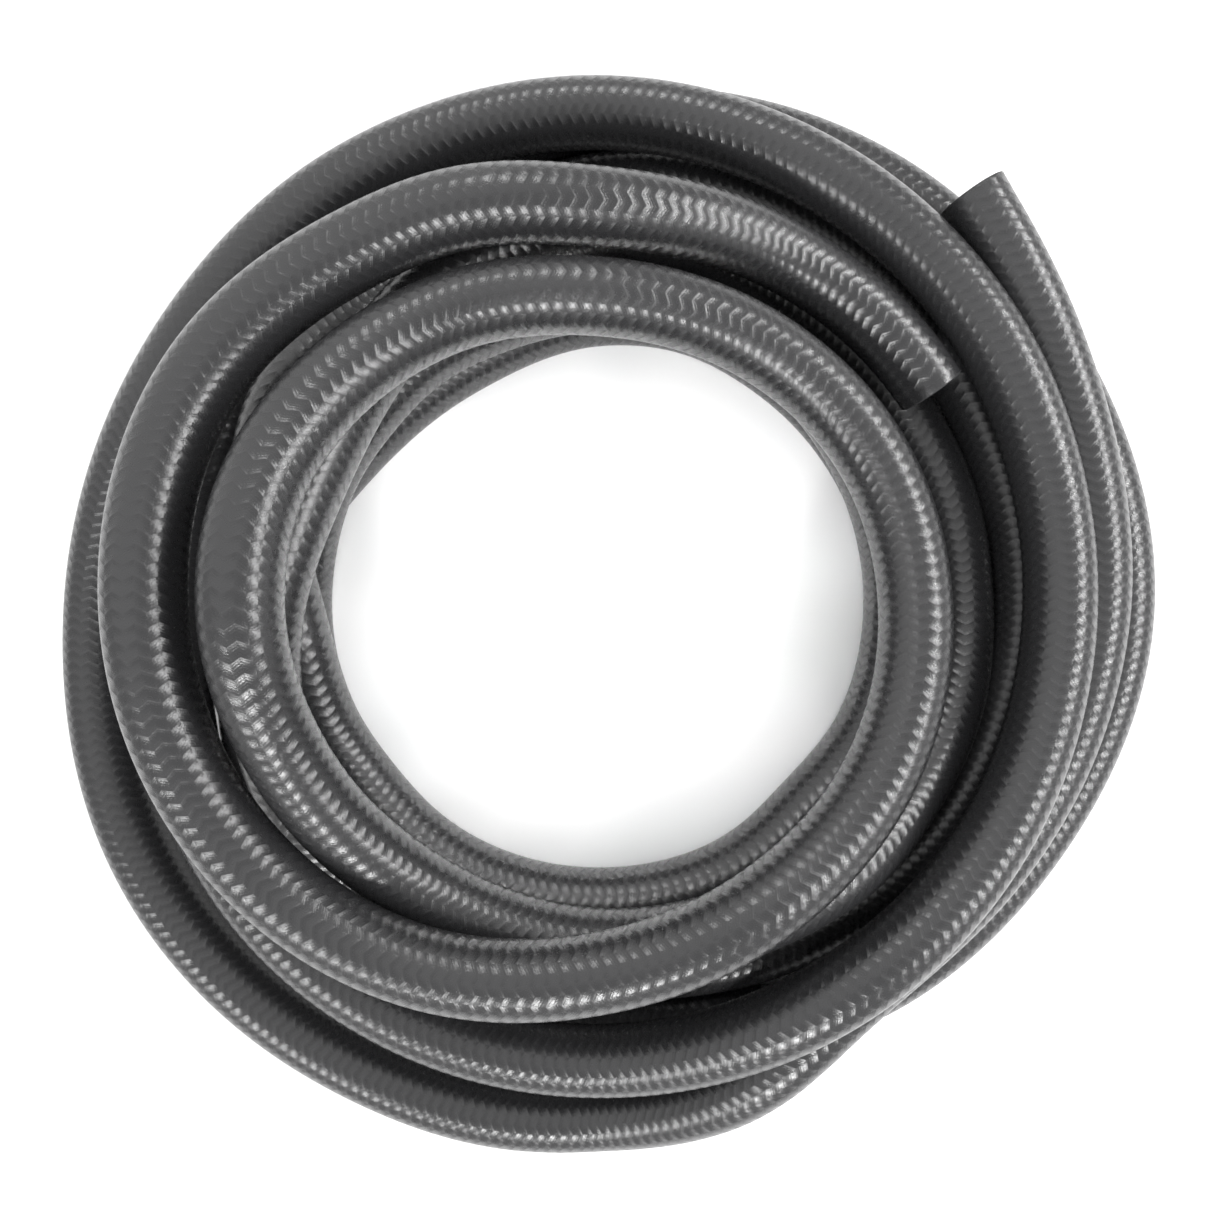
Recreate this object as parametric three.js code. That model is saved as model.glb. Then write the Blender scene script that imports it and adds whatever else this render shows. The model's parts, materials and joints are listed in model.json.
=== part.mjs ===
// Fuel hose: one bare length of rubber hose, wound by hand into a loose coil of eight turns that lies flat.
// Millimetres, +Z up. The origin is the middle of the coil's base, and the hose's outer end points along +Y.

import * as THREE from "three";

// The hose's section
const HOSE_OUTER = 17;
const HOSE_BORE = 10;
const OUTER_SIDES = 12;
const BORE_SIDES = 8;

// The coil: the centreline radius of its innermost column of turns, and the least gap between turns
const INNER_TURN_RADIUS = 76.5;
const TURN_GAP = 0.5;

// Where the hose begins, in its first turn, and where it ends, in its ninth, as bearings in degrees
const FULL_TURN = 360;
const INNER_END_BEARING = 33;
const OUTER_END_BEARING = 8 * FULL_TURN + 48;

// Bearing between two seats, between two points that are settled, and between two rings of the mesh
const SEAT_STEP = 30;
const SETTLE_STEP = 5;
const RING_STEP = 15;

// Where each turn is laid at every seat, as [column, layer], counted in hose diameters:
// columns outwards from the innermost one, and layers upwards from the hose that lies on the floor.
const TURN_SEATS = [
  [
    [1.85, 0.7], [1.58, 0.95], [1.33, 1.4], [0.86, 2.55], [1.09, 2.85], [1.36, 3.1],
    [1.17, 3.4], [1.12, 3.1], [0.77, 3.0], [0.25, 3.0], [0.02, 2.75], [0.0, 2.3],
  ],
  [
    [-0.06, 2.05], [-0.11, 2.0], [-0.27, 2.25], [-0.39, 2.7], [-0.18, 2.9], [-0.14, 3.4],
    [-0.2, 3.75], [-0.04, 3.0], [0.15, 2.2], [0.3, 2.0], [0.41, 2.0], [1.0, 0.8],
  ],
  [
    [1.41, 0.05], [1.34, 0.05], [1.22, 0.4], [1.05, 1.55], [0.4, 1.92], [-0.14, 2.4],
    [-0.08, 2.75], [0.6, 1.8], [1.4, 0.4], [1.42, 0.0], [1.8, 0.0], [2.25, 0.0],
  ],
  [
    [2.4, 0.0], [2.5, 0.0], [2.62, 0.0], [2.42, 0.0], [1.6, 0.25], [0.75, 1.85],
    [0.01, 1.8], [0.07, 1.0], [0.04, 1.0], [0.03, 1.0], [0.03, 1.0], [0.03, 1.0],
  ],
  [
    [0.05, 1.0], [0.11, 1.0], [0.22, 1.0], [0.24, 1.0], [0.22, 1.0], [0.2, 1.0],
    [0.23, 0.7], [0.39, 0.05], [0.43, 0.0], [0.4, 0.0], [0.4, 0.0], [0.47, 0.0],
  ],
  [
    [0.43, 0.0], [0.5, 0.0], [0.46, 0.0], [0.3, 0.0], [0.1, 0.0], [0.31, 0.0],
    [1.1, 0.0], [1.85, 0.0], [2.38, 0.0], [2.5, 0.0], [3.1, 0.0], [3.55, 0.0],
  ],
  [
    [4.05, 0.0], [3.95, 0.0], [3.8, 0.0], [3.45, 0.0], [3.08, 0.0], [2.5, 0.0],
    [2.42, 0.1], [2.4, 0.8], [2.43, 1.0], [2.4, 1.1], [1.92, 2.0], [2.11, 1.7],
  ],
  [
    [2.35, 1.35], [2.55, 1.3], [2.79, 1.2], [3.04, 1.0], [3.01, 1.0], [3.02, 0.92],
    [3.7, 0.1], [4.08, 0.0], [4.05, 0.0], [3.85, 0.0], [2.55, 1.0], [2.75, 0.85],
  ],
  [
    [3.23, 0.7], [3.4, 0.95], [4.5, 1.05], [6.6, 1.1],
  ],
];

// How the laid turns settle against each other, each round moving them a little
const SETTLE_ROUNDS = 240;
const FREE_ROUNDS = 80;
const PULL_BACK = 0.04;
const STIFFNESS_PASSES = 6;
const CONTACT_REACH = 3;

const radians = THREE.MathUtils.degToRad;

// A point of the centreline from its bearing and its place, where x is a radius and y a height
function pointAt(bearing, place) {
  const angle = radians(bearing);
  return new THREE.Vector3(place.x * Math.cos(angle), place.x * Math.sin(angle), place.y);
}

// The place at a bearing, on a smooth curve through places that lie a fixed step of bearing apart
function placeAt(curve, firstBearing, step, bearing) {
  return curve.getPoint((bearing - firstBearing) / step / (curve.points.length - 1));
}

// The hose as it was laid: places in the half-plane through the coil's axis, one every few degrees
function laidPlaces(bearings) {
  const seats = TURN_SEATS.flat().map(
    ([column, layer]) =>
      new THREE.Vector2(
        INNER_TURN_RADIUS + column * HOSE_OUTER,
        HOSE_OUTER / 2 + layer * HOSE_OUTER,
      ),
  );
  const curve = new THREE.SplineCurve(seats);
  return bearings.map((bearing) => placeAt(curve, 0, SEAT_STEP, bearing));
}

// The push on one place from the places of other turns that come nearer than the hoses can lie,
// the deepest contact counting most. Only the part of it in the place's own half-plane moves it.
function pushOn(index, points, bearings) {
  const least = HOSE_OUTER + TURN_GAP;
  const perTurn = FULL_TURN / SETTLE_STEP;
  const turns = TURN_SEATS.length;
  const angle = radians(bearings[index]);
  const outward = new THREE.Vector3(Math.cos(angle), Math.sin(angle), 0);
  const push = new THREE.Vector2();
  let weight = 0;
  for (let turn = -turns; turn <= turns; turn++) {
    for (let reach = -CONTACT_REACH; reach <= CONTACT_REACH; reach++) {
      const other = points[index + turn * perTurn + reach];
      if (turn === 0 || !other) continue;
      const apart = points[index].clone().sub(other);
      const depth = least - apart.length();
      if (depth <= 0) continue;
      apart.normalize();
      push.x += depth * depth * apart.dot(outward);
      push.y += depth * depth * apart.z;
      weight += depth;
    }
  }
  return weight > 0 ? push.divideScalar(weight) : push;
}

// The hose's stiffness: a push on one place bends its neighbours along
function spread(pushes) {
  const last = pushes.length - 1;
  return pushes.map((push, index) => {
    const before = pushes[Math.max(index - 1, 0)];
    const after = pushes[Math.min(index + 1, last)];
    return new THREE.Vector2(
      (before.x + 2 * push.x + after.x) / 4,
      (before.y + 2 * push.y + after.y) / 4,
    );
  });
}

// The laid hose, settled: turns that would press into each other give way, and none sinks into the floor.
// In the last rounds nothing pulls a place back to where it was laid.
function settledPlaces(laid, bearings) {
  const places = laid.map((place) => place.clone());
  for (let round = 0; round < SETTLE_ROUNDS; round++) {
    const points = places.map((place, index) => pointAt(bearings[index], place));
    let pushes = points.map((_, index) => pushOn(index, points, bearings));
    for (let pass = 0; pass < STIFFNESS_PASSES; pass++) pushes = spread(pushes);
    const pull = round < SETTLE_ROUNDS - FREE_ROUNDS ? PULL_BACK : 0;
    places.forEach((place, index) => {
      place.add(pushes[index]).lerp(laid[index], pull);
      place.y = Math.max(place.y, HOSE_OUTER / 2);
    });
  }
  return places;
}

// The hose's centreline, with one ring of the mesh at each end and at every fixed step of bearing between,
// so that the straight stretches of neighbouring turns lie side by side
class HoseRoute extends THREE.Curve {
  constructor() {
    super();
    const first = Math.floor(INNER_END_BEARING / SETTLE_STEP);
    const last = Math.ceil(OUTER_END_BEARING / SETTLE_STEP);
    const bearings = [];
    for (let index = first; index <= last; index++) bearings.push(index * SETTLE_STEP);
    this.firstBearing = bearings[0];
    this.settled = new THREE.SplineCurve(settledPlaces(laidPlaces(bearings), bearings));
    this.rings = [INNER_END_BEARING];
    const firstRing = Math.floor(INNER_END_BEARING / RING_STEP) + 1;
    for (let ring = firstRing; ring * RING_STEP < OUTER_END_BEARING; ring++) {
      this.rings.push(ring * RING_STEP);
    }
    this.rings.push(OUTER_END_BEARING);
  }

  atBearing(bearing) {
    const place = placeAt(this.settled, this.firstBearing, SETTLE_STEP, bearing);
    return pointAt(bearing, place);
  }

  ringBearing(share) {
    return this.rings[Math.round(share * (this.rings.length - 1))];
  }

  getPointAt(share) {
    return this.atBearing(this.ringBearing(share));
  }

  getTangentAt(share) {
    const bearing = this.ringBearing(share);
    const before = Math.max(bearing - 1, INNER_END_BEARING);
    const after = Math.min(bearing + 1, OUTER_END_BEARING);
    return this.atBearing(after).sub(this.atBearing(before)).normalize();
  }
}

// The corners of a circle's polygon
function circle(diameter, sides) {
  return Array.from({ length: sides }, (_, corner) => {
    const angle = radians((corner * FULL_TURN) / sides);
    return new THREE.Vector2(Math.cos(angle), Math.sin(angle)).multiplyScalar(diameter / 2);
  });
}

// The hose: its ring-shaped section swept along the whole route, the bore open at both square-cut ends
function makeHose() {
  const section = new THREE.Shape(circle(HOSE_OUTER, OUTER_SIDES));
  section.holes.push(new THREE.Path(circle(HOSE_BORE, BORE_SIDES)));
  const route = new HoseRoute();
  const geometry = new THREE.ExtrudeGeometry(section, {
    steps: route.rings.length - 1,
    extrudePath: route,
    bevelEnabled: false,
  });
  const rubber = new THREE.MeshStandardMaterial({
    color: 0x3a3b3c,
    roughness: 0.55,
    metalness: 0,
  });
  const hose = new THREE.Mesh(geometry, rubber);
  hose.name = "hose";
  const outerEnd = route.getTangentAt(1);
  hose.rotation.z = Math.PI / 2 - Math.atan2(outerEnd.y, outerEnd.x);
  return hose;
}

// Stands an object with the middle of its base at the origin
function standAtOrigin(object) {
  const box = new THREE.Box3().setFromObject(object, true);
  const middle = box.getCenter(new THREE.Vector3());
  object.position.sub(new THREE.Vector3(middle.x, middle.y, box.min.z));
}

const fuelHose = new THREE.Group();
const hose = makeHose();
standAtOrigin(hose);
fuelHose.add(hose);

export default fuelHose;
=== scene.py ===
"""A black rubber fuel hose, wound by hand into a loose coil that lies flat on a pale floor.

The frame holds the hose's plain solid. This script replaces it with the finished hose, on the same route,
and adds the floor, the lights and the camera.
"""

import json
import math

import bpy
import numpy as np
from bpy.props import FloatProperty, FloatVectorProperty, IntProperty, PointerProperty
from bpy.types import Operator, Panel, PropertyGroup
from bpy.utils import register_class, unregister_class
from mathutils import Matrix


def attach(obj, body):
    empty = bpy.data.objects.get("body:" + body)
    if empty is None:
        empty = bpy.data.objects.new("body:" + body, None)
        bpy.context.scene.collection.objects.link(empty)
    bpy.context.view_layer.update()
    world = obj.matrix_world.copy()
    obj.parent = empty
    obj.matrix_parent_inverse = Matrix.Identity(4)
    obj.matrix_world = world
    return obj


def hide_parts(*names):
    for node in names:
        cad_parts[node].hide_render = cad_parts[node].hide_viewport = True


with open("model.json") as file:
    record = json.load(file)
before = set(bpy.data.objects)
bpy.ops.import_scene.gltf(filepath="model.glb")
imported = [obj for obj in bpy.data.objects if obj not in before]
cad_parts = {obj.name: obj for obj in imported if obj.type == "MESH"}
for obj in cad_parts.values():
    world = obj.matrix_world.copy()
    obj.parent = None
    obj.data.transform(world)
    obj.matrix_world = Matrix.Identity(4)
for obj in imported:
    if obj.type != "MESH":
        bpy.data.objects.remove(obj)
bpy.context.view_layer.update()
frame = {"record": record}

bl_info = {
    "name": "Fuel Hose Coil",
    "version": (1, 0, 0),
    "blender": (4, 5, 0),
    "location": "3D View > Sidebar > Fuel Hose",
    "description": "Makes a loose coil of rubber fuel hose, and a pale floor to show it on",
    "category": "Add Mesh",
}

# Where the hose begins, in its first turn, and where it ends, in its ninth, as bearings in degrees
FULL_TURN = 360.0
INNER_END_BEARING = 33.0
OUTER_END_BEARING = 8 * FULL_TURN + 48.0

# Bearing between two seats, and between two points that are settled
SEAT_STEP = 30.0
SETTLE_STEP = 5.0

# Where each turn is laid at every seat, as (column, layer), counted in hose diameters:
# columns outwards from the innermost one, and layers upwards from the hose that lies on the floor.
TURN_SEATS = (
    (
        (1.85, 0.7), (1.58, 0.95), (1.33, 1.4), (0.86, 2.55), (1.09, 2.85), (1.36, 3.1),
        (1.17, 3.4), (1.12, 3.1), (0.77, 3.0), (0.25, 3.0), (0.02, 2.75), (0.0, 2.3),
    ),
    (
        (-0.06, 2.05), (-0.11, 2.0), (-0.27, 2.25), (-0.39, 2.7), (-0.18, 2.9), (-0.14, 3.4),
        (-0.2, 3.75), (-0.04, 3.0), (0.15, 2.2), (0.3, 2.0), (0.41, 2.0), (1.0, 0.8),
    ),
    (
        (1.41, 0.05), (1.34, 0.05), (1.22, 0.4), (1.05, 1.55), (0.4, 1.92), (-0.14, 2.4),
        (-0.08, 2.75), (0.6, 1.8), (1.4, 0.4), (1.42, 0.0), (1.8, 0.0), (2.25, 0.0),
    ),
    (
        (2.4, 0.0), (2.5, 0.0), (2.62, 0.0), (2.42, 0.0), (1.6, 0.25), (0.75, 1.85),
        (0.01, 1.8), (0.07, 1.0), (0.04, 1.0), (0.03, 1.0), (0.03, 1.0), (0.03, 1.0),
    ),
    (
        (0.05, 1.0), (0.11, 1.0), (0.22, 1.0), (0.24, 1.0), (0.22, 1.0), (0.2, 1.0),
        (0.23, 0.7), (0.39, 0.05), (0.43, 0.0), (0.4, 0.0), (0.4, 0.0), (0.47, 0.0),
    ),
    (
        (0.43, 0.0), (0.5, 0.0), (0.46, 0.0), (0.3, 0.0), (0.1, 0.0), (0.31, 0.0),
        (1.1, 0.0), (1.85, 0.0), (2.38, 0.0), (2.5, 0.0), (3.1, 0.0), (3.55, 0.0),
    ),
    (
        (4.05, 0.0), (3.95, 0.0), (3.8, 0.0), (3.45, 0.0), (3.08, 0.0), (2.5, 0.0),
        (2.42, 0.1), (2.4, 0.8), (2.43, 1.0), (2.4, 1.1), (1.92, 2.0), (2.11, 1.7),
    ),
    (
        (2.35, 1.35), (2.55, 1.3), (2.79, 1.2), (3.04, 1.0), (3.01, 1.0), (3.02, 0.92),
        (3.7, 0.1), (4.08, 0.0), (4.05, 0.0), (3.85, 0.0), (2.55, 1.0), (2.75, 0.85),
    ),
    (
        (3.23, 0.7), (3.4, 0.95), (4.5, 1.05), (6.6, 1.1),
    ),
)

# How the laid turns settle against each other, each round moving them a little
SETTLE_ROUNDS = 240
FREE_ROUNDS = 80
PULL_BACK = 0.04
STIFFNESS_PASSES = 6
CONTACT_REACH = 3

# The finished hose's mesh: its sides, and the bearing between two rings of the cover and of the bore
SIDES = 32
COVER_STEP = 1.25
BORE_STEP = 7.5

# The cut ends: how far the knife's edge is rounded over
CUT_ROUND = 0.00035
CUT_ROUND_STEPS = 3


# The woven imprint: how far a row zigzags as a share of its pitch, the power that broadens its ridges,
# the threads in one ridge, and how high the threads and the rubber's speckle are beside the ridge
ZIGZAG_SHIFT = 0.4
RIDGE_POWER = 0.85
THREADS_A_ROW = 5
THREAD_HEIGHT = 0.03
SPECKLE_HEIGHT = 0.3

# The cut rubber's own relief, in metres
CUT_RELIEF = 0.00008


class HoseSettings(PropertyGroup):
    """Sizes and finish of the hose"""

    outer_diameter: FloatProperty(
        name="Outer diameter", description="Outside of the hose", default=0.017, min=0.004, unit="LENGTH"
    )
    bore_diameter: FloatProperty(
        name="Bore", description="Inside of the hose", default=0.010, min=0.002, unit="LENGTH"
    )
    inner_turn_radius: FloatProperty(
        name="Innermost turn",
        description="Centreline radius of the innermost column of turns",
        default=0.0765,
        unit="LENGTH",
    )
    turn_gap: FloatProperty(
        name="Gap", description="Least gap between two turns", default=0.0005, min=0.0, unit="LENGTH"
    )
    imprint_pitch: FloatProperty(
        name="Imprint pitch",
        description="Distance between two rows of the woven imprint along the hose",
        default=0.0031,
        unit="LENGTH",
    )
    imprint_columns: IntProperty(
        name="Imprint columns",
        description="Columns of V shapes of the woven imprint around the hose",
        default=12,
    )
    imprint_depth: FloatProperty(
        name="Imprint depth", description="Depth of the woven imprint", default=0.00013, unit="LENGTH"
    )
    rubber_colour: FloatVectorProperty(
        name="Rubber",
        description="Colour of the cover",
        default=(0.02, 0.02, 0.021),
        size=3,
        subtype="COLOR",
        min=0.0,
        max=1.0,
    )


class StageSettings(PropertyGroup):
    """The camera above the coil, the floor and the lights"""

    camera_height: FloatProperty(
        name="Camera height",
        description="Height of the camera above the floor",
        default=0.2465,
        unit="LENGTH",
    )
    camera_lens: FloatProperty(
        name="Lens", description="Focal length for a 36 mm wide sensor, in millimetres", default=25.2
    )
    floor_size: FloatProperty(
        name="Floor", description="Side of the square floor", default=6.0, unit="LENGTH"
    )
    floor_drop: FloatProperty(
        name="Floor drop",
        description="How far the floor lies under the base of the CAD model, where the round hose rests",
        default=0.00025,
        unit="LENGTH",
    )
    floor_colour: FloatVectorProperty(
        name="Floor colour",
        description="Colour of the floor",
        default=(0.9, 0.9, 0.9),
        size=3,
        subtype="COLOR",
        min=0.0,
        max=1.0,
    )


def at_places(places, first_bearing, step, bearings):
    """Places at the given bearings, on a curve through places a fixed step of bearing apart.

    Between two places the curve is the cubic that leaves each of them parallel to the line
    through its two neighbours; past an end the end place is repeated.
    """
    position = (bearings - first_bearing) / step
    index = np.floor(position).astype(int)
    index = np.clip(index, 0, len(places) - 1)
    share = (position - index)[:, None]
    last = len(places) - 1
    before, start, end, after = (places[np.clip(index + k, 0, last)] for k in (-1, 0, 1, 2))
    leave = (end - before) / 2
    arrive = (after - start) / 2
    return (
        (2 * start - 2 * end + leave + arrive) * share**3
        + (-3 * start + 3 * end - 2 * leave - arrive) * share**2
        + leave * share
        + start
    )


def to_points(bearings, places):
    """Points in space from bearings and places: radius along the bearing, and height."""
    angle = np.radians(bearings)
    return np.stack([places[:, 0] * np.cos(angle), places[:, 0] * np.sin(angle), places[:, 1]], axis=1)


def contact_pushes(bearings, places, least):
    """How far each place is pushed by places of other turns that are nearer than the least distance.

    A push points away from the other place, is as long as the contact is deep, and is averaged with
    the depth as its weight. Only its parts along the place's own radius and height are kept.
    """
    angle = np.radians(bearings)
    outward = np.stack([np.cos(angle), np.sin(angle), np.zeros_like(angle)], axis=1)
    points = to_points(bearings, places)
    per_turn = int(FULL_TURN / SETTLE_STEP)
    turns = [turn for turn in range(-len(TURN_SEATS), len(TURN_SEATS) + 1) if turn != 0]
    reach = range(-CONTACT_REACH, CONTACT_REACH + 1)
    offsets = np.array([turn * per_turn + near for turn in turns for near in reach])
    others = np.arange(len(places))[:, None] + offsets[None]
    real = (others >= 0) & (others < len(places))
    apart = points[:, None] - points[np.clip(others, 0, len(places) - 1)]
    distance = np.linalg.norm(apart, axis=2)
    depth = np.where(real, np.maximum(least - distance, 0.0), 0.0)
    direction = apart / np.maximum(distance, 1e-9)[..., None]
    radial = (depth**2 * (direction * outward[:, None]).sum(axis=2)).sum(axis=1)
    upward = (depth**2 * direction[..., 2]).sum(axis=1)
    weight = np.maximum(depth.sum(axis=1), 1e-12)
    return np.stack([radial, upward], axis=1) / weight[:, None]


def spread(pushes):
    """The hose's stiffness: each push becomes a quarter, half and quarter mix with its neighbours."""
    padded = np.concatenate([pushes[:1], pushes, pushes[-1:]])
    return (padded[:-2] + 2 * padded[1:-1] + padded[2:]) / 4


def settled_places(settings):
    """The laid hose, settled: turns that would press into each other give way, none sinks into the floor."""
    diameter = settings.outer_diameter
    seats = np.array([seat for turn in TURN_SEATS for seat in turn])
    seats = seats * diameter + np.array([settings.inner_turn_radius, diameter / 2])
    first = math.floor(INNER_END_BEARING / SETTLE_STEP)
    last = math.ceil(OUTER_END_BEARING / SETTLE_STEP)
    bearings = np.arange(first, last + 1) * SETTLE_STEP
    laid = at_places(seats, 0.0, SEAT_STEP, bearings)
    places = laid.copy()
    for round_number in range(SETTLE_ROUNDS):
        pushes = contact_pushes(bearings, places, diameter + settings.turn_gap)
        for _ in range(STIFFNESS_PASSES):
            pushes = spread(pushes)
        places = places + pushes
        if round_number < SETTLE_ROUNDS - FREE_ROUNDS:
            places = places + PULL_BACK * (laid - places)
        places[:, 1] = np.maximum(places[:, 1], diameter / 2)
    return bearings, places


class HoseRoute:
    """The hose's settled centreline in the frame's own place, asked for by bearing.

    The coil is turned about its axis until the outer end points along +Y, and moved until that end's
    middle lies under the mount on its wall.
    """

    def __init__(self, settings):
        self.bearings, self.places = settled_places(settings)
        before, end = self.plain(np.array([OUTER_END_BEARING - 1.0, OUTER_END_BEARING]))
        heading = end - before
        turn = math.pi / 2 - math.atan2(heading[1], heading[0])
        self.turn = turn
        self.turning = np.array(
            [[math.cos(turn), -math.sin(turn), 0.0], [math.sin(turn), math.cos(turn), 0.0], [0.0, 0.0, 1.0]]
        )
        mount = next(m for m in frame["record"]["mounts"] if m["name"] == "outer_end")
        axis = np.array(mount["axis"])
        up = np.array([0.0, 0.0, 1.0]) - axis * axis[2]
        wall_middle = (settings.outer_diameter + settings.bore_diameter) / 4
        end_centre = np.array(mount["pos_m"]) - up / np.linalg.norm(up) * wall_middle
        self.axis_at = end_centre - self.turning @ end

    def plain(self, bearings):
        """Points of the centreline round the coil's own axis."""
        places = at_places(self.places, self.bearings[0], SETTLE_STEP, bearings)
        return to_points(bearings, places)

    def points(self, bearings):
        """Points of the centreline in the frame: turned with the coil, and moved to its axis."""
        return self.plain(bearings) @ self.turning.T + self.axis_at

    def frames(self, bearings):
        """Centre, heading, outward and upward directions of the hose's section at each bearing.

        The outward direction is the coil's own, made square to the heading, so it never twists.
        """
        before = np.maximum(bearings - 1.0, INNER_END_BEARING)
        after = np.minimum(bearings + 1.0, OUTER_END_BEARING)
        heading = self.points(after) - self.points(before)
        heading /= np.linalg.norm(heading, axis=1)[:, None]
        angle = np.radians(bearings) + self.turn
        outward = np.stack([np.cos(angle), np.sin(angle), np.zeros_like(angle)], axis=1)
        outward -= (outward * heading).sum(axis=1)[:, None] * heading
        outward /= np.linalg.norm(outward, axis=1)[:, None]
        return self.points(bearings), heading, outward, np.cross(outward, heading)


def steps_between(first, last, step):
    """Evenly spaced bearings from one end to the other, no further apart than the step."""
    return np.linspace(first, last, int(math.ceil((last - first) / step)) + 1)


def tube_rings(route, bearings, radii, shifts):
    """Rings of points around the route.

    Each point is the ring's centre, moved along the heading by the ring's shift, plus its radius times
    the cosine of the side's angle outwards and the sine upwards.
    """
    centre, heading, outward, upward = route.frames(bearings)
    centre = centre + heading * shifts[:, None]
    angle = np.linspace(0.0, 2 * math.pi, SIDES, endpoint=False)
    around = outward[:, None] * np.cos(angle)[None, :, None] + upward[:, None] * np.sin(angle)[None, :, None]
    return centre[:, None] + around * radii[:, None, None]


def hose_profile(route, settings):
    """The closed profile that is carried round: cover, rounded cut, cut face, bore, and back again.

    Returns the bearing, radius and shift along the heading of every ring, and which rings belong to the
    cover.
    """
    outer = settings.outer_diameter / 2
    bore = settings.bore_diameter / 2
    cover = steps_between(INNER_END_BEARING, OUTER_END_BEARING, COVER_STEP)
    inside = steps_between(INNER_END_BEARING, OUTER_END_BEARING, BORE_STEP)[::-1]
    turn = np.linspace(0.0, math.pi / 2, CUT_ROUND_STEPS + 1)
    drop = CUT_ROUND * (1 - np.cos(turn))
    back = CUT_ROUND * (1 - np.sin(turn))
    ends = np.full(len(turn), OUTER_END_BEARING)
    starts = np.full(len(turn), INNER_END_BEARING)
    bearings = np.concatenate([cover[1:-1], ends, inside, starts])
    radii = np.concatenate(
        [np.full(len(cover) - 2, outer), outer - drop, np.full(len(inside), bore), (outer - drop)[::-1]]
    )
    shifts = np.concatenate([np.zeros(len(cover) - 2), -back, np.zeros(len(inside)), back[::-1]])
    is_cover = np.zeros(len(bearings), bool)
    is_cover[: len(cover) - 1] = True
    is_cover[-1] = True
    return bearings, radii, shifts, is_cover


def make_hose_mesh(route, settings):
    """The hose as one closed surface: the profile's rings joined by quads, the last ring to the first.

    The UV map is in metres: around the hose, and along it.
    """
    bearings, radii, shifts, is_cover = hose_profile(route, settings)
    rings = tube_rings(route, bearings, radii, shifts)
    count = len(rings)
    ring, side = np.meshgrid(np.arange(count), np.arange(SIDES), indexing="ij")
    next_ring = (ring + 1) % count
    next_side = (side + 1) % SIDES
    quads = np.stack(
        [
            ring * SIDES + side,
            ring * SIDES + next_side,
            next_ring * SIDES + next_side,
            next_ring * SIDES + side,
        ],
        axis=-1,
    ).reshape(-1, 4)
    mesh = bpy.data.meshes.new("hose_cover")
    mesh.vertices.add(count * SIDES)
    mesh.vertices.foreach_set("co", rings.reshape(-1))
    mesh.loops.add(quads.size)
    mesh.loops.foreach_set("vertex_index", quads.reshape(-1))
    mesh.polygons.add(len(quads))
    mesh.polygons.foreach_set("loop_start", np.arange(0, quads.size, 4))
    mesh.update(calc_edges=True)

    steps = np.linalg.norm(np.diff(rings.mean(axis=1), axis=0), axis=1)
    length_along = np.concatenate([[0.0], np.cumsum(steps)])
    width = math.pi * settings.outer_diameter
    next_length = np.append(length_along[1:], length_along[-1] + CUT_ROUND)
    u = np.stack([side, side + 1, side + 1, side], axis=-1) * (width / SIDES)
    v = np.stack([length_along[ring], length_along[ring], next_length[ring], next_length[ring]], axis=-1)
    uv = np.stack([u, v], axis=-1)
    mesh.uv_layers.new(name="around_and_along").data.foreach_set("uv", uv.reshape(-1))

    cut = ~(is_cover & is_cover[(np.arange(count) + 1) % count])
    mesh.polygons.foreach_set("material_index", np.repeat(cut.astype(np.int32), SIDES))
    mesh.polygons.foreach_set("use_smooth", np.ones(len(quads), bool))
    mesh.validate()
    return mesh


def value_node(tree, operation, *inputs):
    """A Math node; each input is a number or another node's output."""
    node = tree.nodes.new("ShaderNodeMath")
    node.operation = operation
    for socket, value in zip(node.inputs, inputs):
        if isinstance(value, bpy.types.NodeSocket):
            tree.links.new(value, socket)
        else:
            socket.default_value = value
    return node.outputs[0]


def new_group(name, inputs, outputs):
    """An empty shader node group with named sockets, and its input and output nodes."""
    tree = bpy.data.node_groups.new(name, "ShaderNodeTree")
    for label, kind, default in inputs:
        socket = tree.interface.new_socket(name=label, in_out="INPUT", socket_type=kind)
        if default is not None:
            socket.default_value = default
    for label, kind in outputs:
        tree.interface.new_socket(name=label, in_out="OUTPUT", socket_type=kind)
    return tree, tree.nodes.new("NodeGroupInput"), tree.nodes.new("NodeGroupOutput")


def woven_imprint_group():
    """A braid pressed into the rubber: rows of broad ridges that zigzag around the hose.

    Each row is shifted by a share of its pitch from the tip of each V to its open end, by a triangle wave
    of the place across the column. The height is the size of the sine of half the shifted row's turn, to a
    power just under one, so a ridge is broad and the groove between two rows is narrow. The threads are a
    finer sine wave across each ridge.
    """
    tree, given, made = new_group(
        "Woven imprint",
        [
            ("Map", "NodeSocketVector", None),
            ("Column width", "NodeSocketFloat", 0.003),
            ("Row pitch", "NodeSocketFloat", 0.003),
        ],
        [("Height", "NodeSocketFloat"), ("Threads", "NodeSocketFloat")],
    )
    split = tree.nodes.new("ShaderNodeSeparateXYZ")
    tree.links.new(given.outputs["Map"], split.inputs[0])
    column = value_node(tree, "DIVIDE", split.outputs["X"], given.outputs["Column width"])
    row = value_node(tree, "DIVIDE", split.outputs["Y"], given.outputs["Row pitch"])
    arm = value_node(tree, "PINGPONG", value_node(tree, "MULTIPLY", column, 2.0), 1.0)
    shifted = value_node(tree, "MULTIPLY_ADD", arm, ZIGZAG_SHIFT, row)
    swell = value_node(tree, "SINE", value_node(tree, "MULTIPLY", shifted, math.pi))
    ridge = value_node(tree, "POWER", value_node(tree, "ABSOLUTE", swell), RIDGE_POWER)
    threads = value_node(tree, "SINE", value_node(tree, "MULTIPLY", shifted, THREADS_A_ROW * 2 * math.pi))
    tree.links.new(ridge, made.inputs["Height"])
    tree.links.new(threads, made.inputs["Threads"])
    return tree


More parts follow.
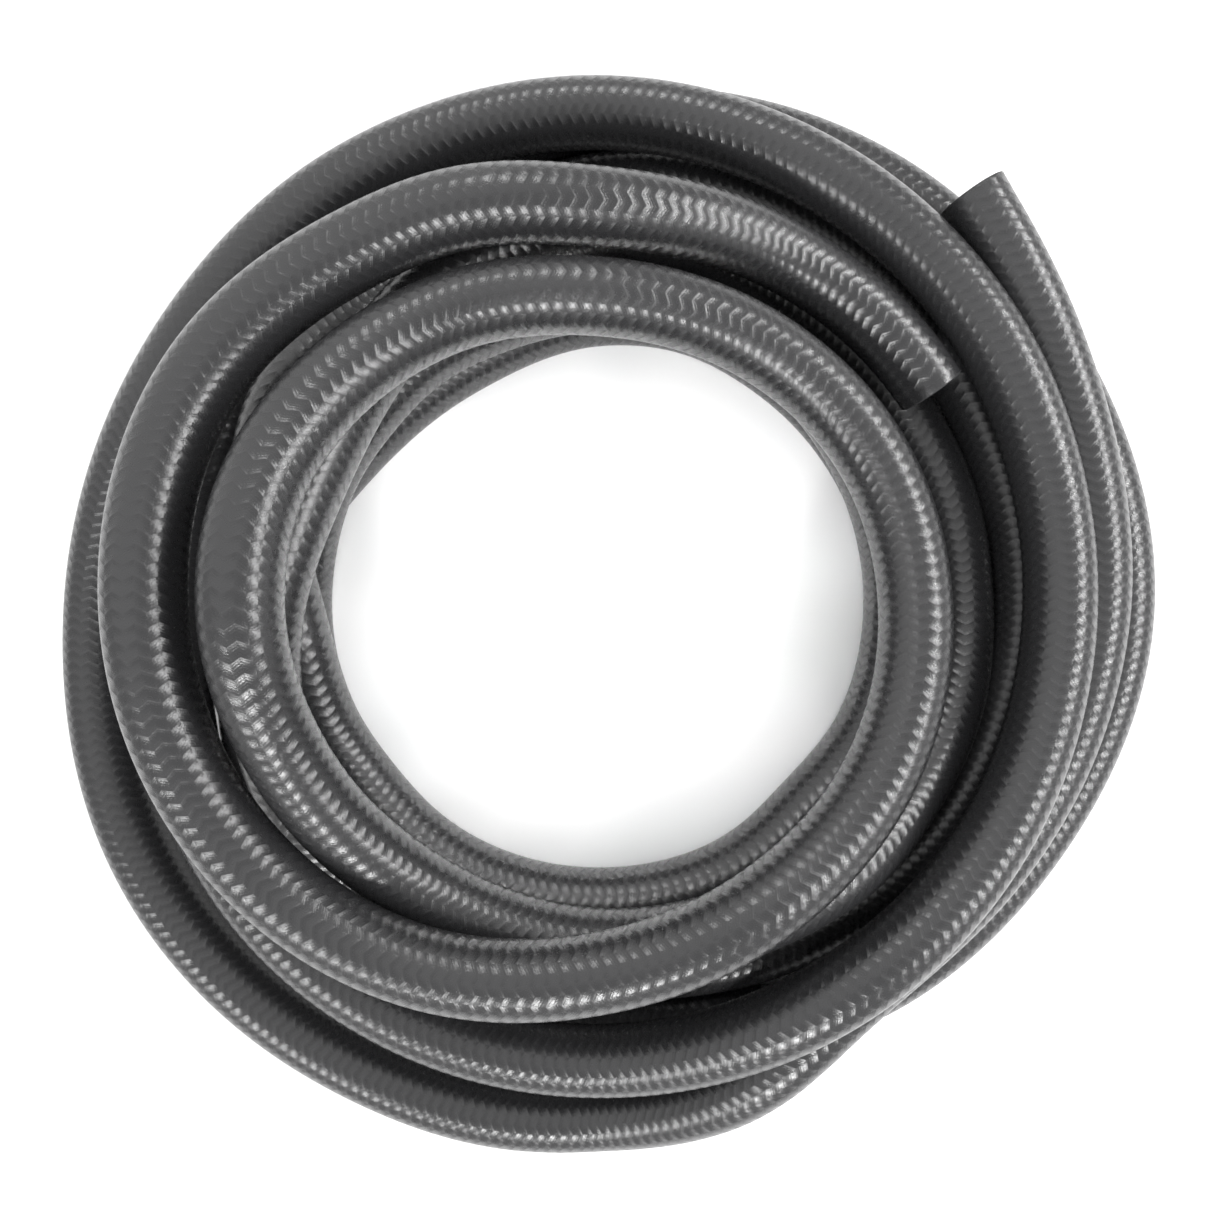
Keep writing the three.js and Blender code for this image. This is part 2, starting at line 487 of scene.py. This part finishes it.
def rubber_mottle_group():
    """Uneven rubber: a slow drift of shade, and fine speckle, on object coordinates."""
    tree, given, made = new_group(
        "Rubber mottle",
        [("Drift size", "NodeSocketFloat", 40.0), ("Speckle size", "NodeSocketFloat", 3200.0)],
        [("Drift", "NodeSocketFloat"), ("Speckle", "NodeSocketFloat")],
    )
    place = tree.nodes.new("ShaderNodeTexCoord")
    for label, detail in (("Drift", 3.0), ("Speckle", 2.0)):
        noise = tree.nodes.new("ShaderNodeTexNoise")
        noise.inputs["Detail"].default_value = detail
        tree.links.new(place.outputs["Object"], noise.inputs["Vector"])
        tree.links.new(given.outputs[label + " size"], noise.inputs["Scale"])
        tree.links.new(noise.outputs[0], made.inputs[label])
    return tree


def group_node(tree, group):
    """A node that holds a node group."""
    node = tree.nodes.new("ShaderNodeGroup")
    node.node_tree = group
    return node


def new_material(name):
    """A material with its node tree and its Principled shader."""
    material = bpy.data.materials.new(name)
    material.use_nodes = True
    shader = material.node_tree.nodes["Principled BSDF"]
    return material, material.node_tree, shader


def scaled(tree, value, low, high):
    """A value between 0 and 1, stretched to run from low to high."""
    return value_node(tree, "MULTIPLY_ADD", value, high - low, low)


def shade(tree, colour, brightness):
    """A colour times a brightness that changes over the surface."""
    mix = tree.nodes.new("ShaderNodeMix")
    mix.data_type = "RGBA"
    mix.blend_type = "MULTIPLY"
    mix.inputs["Factor"].default_value = 1.0
    mix.inputs["A"].default_value = (*colour, 1.0)
    grey = tree.nodes.new("ShaderNodeCombineColor")
    for socket in grey.inputs:
        tree.links.new(brightness, socket)
    tree.links.new(grey.outputs[0], mix.inputs["B"])
    return mix.outputs["Result"]


def cover_material(settings, imprint, mottle):
    """Black rubber cover with the woven imprint: the low places carry painted shade, a little darker, and
    are duller.
    """
    material, tree, shader = new_material("woven_rubber_cover")
    place = tree.nodes.new("ShaderNodeTexCoord")
    weave = group_node(tree, imprint)
    tree.links.new(place.outputs["UV"], weave.inputs["Map"])
    width = math.pi * settings.outer_diameter / settings.imprint_columns
    weave.inputs["Column width"].default_value = width
    weave.inputs["Row pitch"].default_value = settings.imprint_pitch
    uneven = group_node(tree, mottle)
    height = weave.outputs["Height"]
    drift = uneven.outputs["Drift"]
    speckle = uneven.outputs["Speckle"]

    # Painted shade: the cover's colour runs from 0.94 in the imprint's grooves to 1.03 on its ridges
    painted_groove_shade = scaled(tree, height, 0.94, 1.03)
    brightness = value_node(tree, "MULTIPLY", painted_groove_shade, scaled(tree, drift, 0.88, 1.12))
    tree.links.new(shade(tree, settings.rubber_colour, brightness), shader.inputs["Base Color"])

    dull = value_node(tree, "ADD", scaled(tree, height, 0.33, 0.25), scaled(tree, speckle, -0.06, 0.06))
    tree.links.new(dull, shader.inputs["Roughness"])

    shader.inputs["Specular IOR Level"].default_value = 0.7

    threads = value_node(tree, "MULTIPLY", weave.outputs["Threads"], THREAD_HEIGHT)
    fine = value_node(tree, "ADD", scaled(tree, speckle, 0.0, SPECKLE_HEIGHT), threads)
    relief = value_node(tree, "ADD", height, fine)
    bump = tree.nodes.new("ShaderNodeBump")
    bump.inputs["Distance"].default_value = settings.imprint_depth
    tree.links.new(relief, bump.inputs["Height"])
    tree.links.new(bump.outputs["Normal"], shader.inputs["Normal"])
    return material


def cut_material(settings, mottle):
    """Bare cut rubber of the ends and the bore: duller, with faint knife marks."""
    material, tree, shader = new_material("cut_rubber")
    uneven = group_node(tree, mottle)
    uneven.inputs["Drift size"].default_value = 300.0
    drift = uneven.outputs["Drift"]
    tree.links.new(
        shade(tree, settings.rubber_colour, scaled(tree, drift, 0.7, 1.3)), shader.inputs["Base Color"]
    )
    tree.links.new(scaled(tree, drift, 0.55, 0.8), shader.inputs["Roughness"])
    bump = tree.nodes.new("ShaderNodeBump")
    bump.inputs["Distance"].default_value = CUT_RELIEF
    tree.links.new(uneven.outputs["Speckle"], bump.inputs["Height"])
    tree.links.new(bump.outputs["Normal"], shader.inputs["Normal"])
    return material


class HOSE_OT_make_hose(Operator):
    """Makes the coiled hose, which replaces the plain solid of the frame"""

    bl_idname = "fuel_hose.make_hose"
    bl_label = "Fuel hose"

    def execute(self, context):
        settings = context.scene.fuel_hose
        route = HoseRoute(settings)
        hose = bpy.data.objects.new("fuel_hose", make_hose_mesh(route, settings))
        context.scene.collection.objects.link(hose)
        mottle = rubber_mottle_group()
        hose.data.materials.append(cover_material(settings, woven_imprint_group(), mottle))
        hose.data.materials.append(cut_material(settings, mottle))
        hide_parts("hose")
        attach(hose, "root")
        return {"FINISHED"}


# The camera's place to the right of the coil's axis and up the photograph, in metres
CAMERA_FROM_COIL_AXIS = (0.0018, -0.0003)

# The light of the plain studio all round, and the broad lamp at the upper left: place, side and power
STUDIO_STRENGTH = 0.65
SOFT_LIGHT_PLACE = (-0.5, 0.6, 0.9)
SOFT_LIGHT_SIDE = 2.2
SOFT_LIGHT_POWER = 9.0

# The narrow light beside the camera, which brightens the floor in the coil's hole: how far it is above
# the camera, its side, its power and the angle of its cone in degrees
HOLE_LIGHT_RISE = 0.002
HOLE_LIGHT_SIDE = 0.01
HOLE_LIGHT_POWER = 0.045
HOLE_LIGHT_CONE = 41.0

# The height above the floor that the lights are aimed at
AIM_HEIGHT = 0.02

# Rows of small lamps that draw the beaded highlight lines: where each row starts, the step to the next
# lamp, how many lamps, and the side in metres and the power in watts of one
LAMP_ROWS = (
    ("right_lamp", (0.62, -0.3, 0.5), (0.0, 0.2, 0.0), 5, 0.07, 1.3),
    ("lower_left_lamp", (-1.2, -1.28, 1.15), (0.45, 0.0, 0.0), 2, 0.16, 6.5),
    ("lower_lamp", (0.1, -1.28, 1.15), (0.0, 0.0, 0.0), 1, 0.18, 13.0),
    ("upper_lamp", (0.0, 1.3, 1.1), (0.0, 0.0, 0.0), 1, 0.16, 4.0),
)


def photo_place(x, y, z, route):
    """A place to the right of the coil's axis by x and up the photograph by y, at height z, in the frame."""
    return route.turning @ np.array([x, y, 0.0]) + np.array([route.axis_at[0], route.axis_at[1], z])


def add_area_light(name, place, target, size, power):
    """A soft square light at a place, facing its target."""
    data = bpy.data.lights.new(name, "AREA")
    data.size = size
    data.energy = power
    light = bpy.data.objects.new(name, data)
    bpy.context.scene.collection.objects.link(light)
    light.location = place
    direction = target - place
    yaw = math.atan2(direction[1], direction[0])
    pitch = math.atan2(math.hypot(direction[0], direction[1]), -direction[2])
    light.rotation_euler = (pitch, 0.0, yaw - math.pi / 2)
    return light


class HOSE_OT_make_stage(Operator):
    """Makes the pale floor, the soft lights and the camera straight above the coil"""

    bl_idname = "fuel_hose.make_stage"
    bl_label = "Floor, lights and camera"

    def execute(self, context):
        stage = context.scene.fuel_hose_stage
        scene = context.scene
        route = HoseRoute(scene.fuel_hose)

        half = stage.floor_size / 2
        mesh = bpy.data.meshes.new("floor")
        low = -stage.floor_drop
        corners = [(-half, -half, low), (half, -half, low), (half, half, low), (-half, half, low)]
        mesh.from_pydata(corners, [], [(0, 1, 2, 3)])
        floor = bpy.data.objects.new("floor", mesh)
        scene.collection.objects.link(floor)
        material, tree, shader = new_material("pale_floor")
        shader.inputs["Base Color"].default_value = (*stage.floor_colour, 1.0)
        shader.inputs["Roughness"].default_value = 0.9
        mesh.materials.append(material)

        world = bpy.data.worlds.new("studio")
        world.use_nodes = True
        background = world.node_tree.nodes["Background"]
        background.inputs["Color"].default_value = (1.0, 1.0, 1.0, 1.0)
        background.inputs["Strength"].default_value = STUDIO_STRENGTH
        scene.world = world
        scene.view_settings.view_transform = "Standard"

        middle = photo_place(0.0, 0.0, AIM_HEIGHT, route)
        soft_place = photo_place(*SOFT_LIGHT_PLACE, route)
        add_area_light("soft_light", soft_place, middle, SOFT_LIGHT_SIDE, SOFT_LIGHT_POWER)
        for name, start, step, count, side, power in LAMP_ROWS:
            for index in range(count):
                place = photo_place(*(np.array(start) + index * np.array(step)), route)
                add_area_light(name + "_" + str(index + 1), place, middle, side, power)
        above = photo_place(*CAMERA_FROM_COIL_AXIS, stage.camera_height + HOLE_LIGHT_RISE, route)
        beam = add_area_light("hole_light", above, middle, HOLE_LIGHT_SIDE, HOLE_LIGHT_POWER)
        beam.data.spread = math.radians(HOLE_LIGHT_CONE)

        data = bpy.data.cameras.new("camera")
        data.sensor_width = 36.0
        data.lens = stage.camera_lens
        data.clip_start = 0.01
        camera = bpy.data.objects.new("camera", data)
        scene.collection.objects.link(camera)
        camera.location = photo_place(*CAMERA_FROM_COIL_AXIS, stage.camera_height, route)
        camera.rotation_euler = (0.0, 0.0, route.turn)
        scene.camera = camera
        return {"FINISHED"}


class HOSE_PT_panel(Panel):
    """Lists the sizes and the operators"""

    bl_idname = "HOSE_PT_panel"
    bl_label = "Fuel Hose"
    bl_space_type = "VIEW_3D"
    bl_region_type = "UI"
    bl_category = "Fuel Hose"

    def draw(self, context):
        column = self.layout.column()
        for settings in (context.scene.fuel_hose, context.scene.fuel_hose_stage):
            for name in settings.__annotations__:
                column.prop(settings, name)
        column.operator(HOSE_OT_make_hose.bl_idname)
        column.operator(HOSE_OT_make_stage.bl_idname)


CLASSES = (HoseSettings, StageSettings, HOSE_OT_make_hose, HOSE_OT_make_stage, HOSE_PT_panel)


def register():
    for cls in CLASSES:
        register_class(cls)
    bpy.types.Scene.fuel_hose = PointerProperty(type=HoseSettings)
    bpy.types.Scene.fuel_hose_stage = PointerProperty(type=StageSettings)


def unregister():
    del bpy.types.Scene.fuel_hose_stage
    del bpy.types.Scene.fuel_hose
    for cls in reversed(CLASSES):
        unregister_class(cls)


def main():
    register()
    bpy.ops.fuel_hose.make_hose()
    bpy.ops.fuel_hose.make_stage()


if __name__ == "__main__":
    main()
